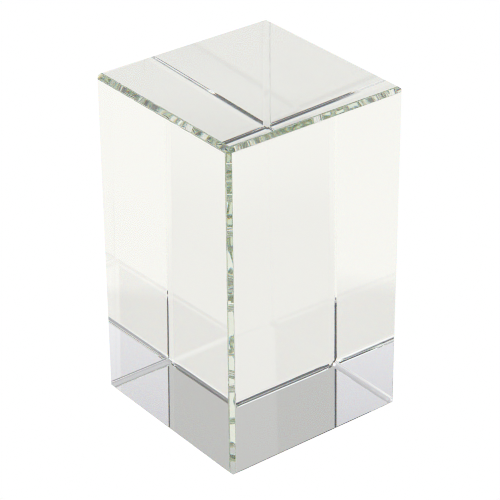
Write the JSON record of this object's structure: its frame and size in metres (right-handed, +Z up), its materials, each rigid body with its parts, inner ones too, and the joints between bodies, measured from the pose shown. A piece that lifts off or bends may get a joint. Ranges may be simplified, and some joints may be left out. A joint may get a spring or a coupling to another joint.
{
  "type": "crystal block award",
  "caption": "Tall square block of solid clear crystal with polished faces and narrow bevelled edges, standing free as a blank award.",
  "frame": {"origin": "centre of the underside, on the surface that the block stands on", "axes": "+Z up along the block's height, -Y out of the front face, +X to the right seen from the front"},
  "size_m": [0.06, 0.06, 0.102],
  "materials": {
    "crystal": "solid optical crystal, polished clear on every face and bevel, with a faint green cast through its depth"
  },
  "bodies": {
    "root": {"crystal_block": "crystal"}
  },
  "joints": []
}
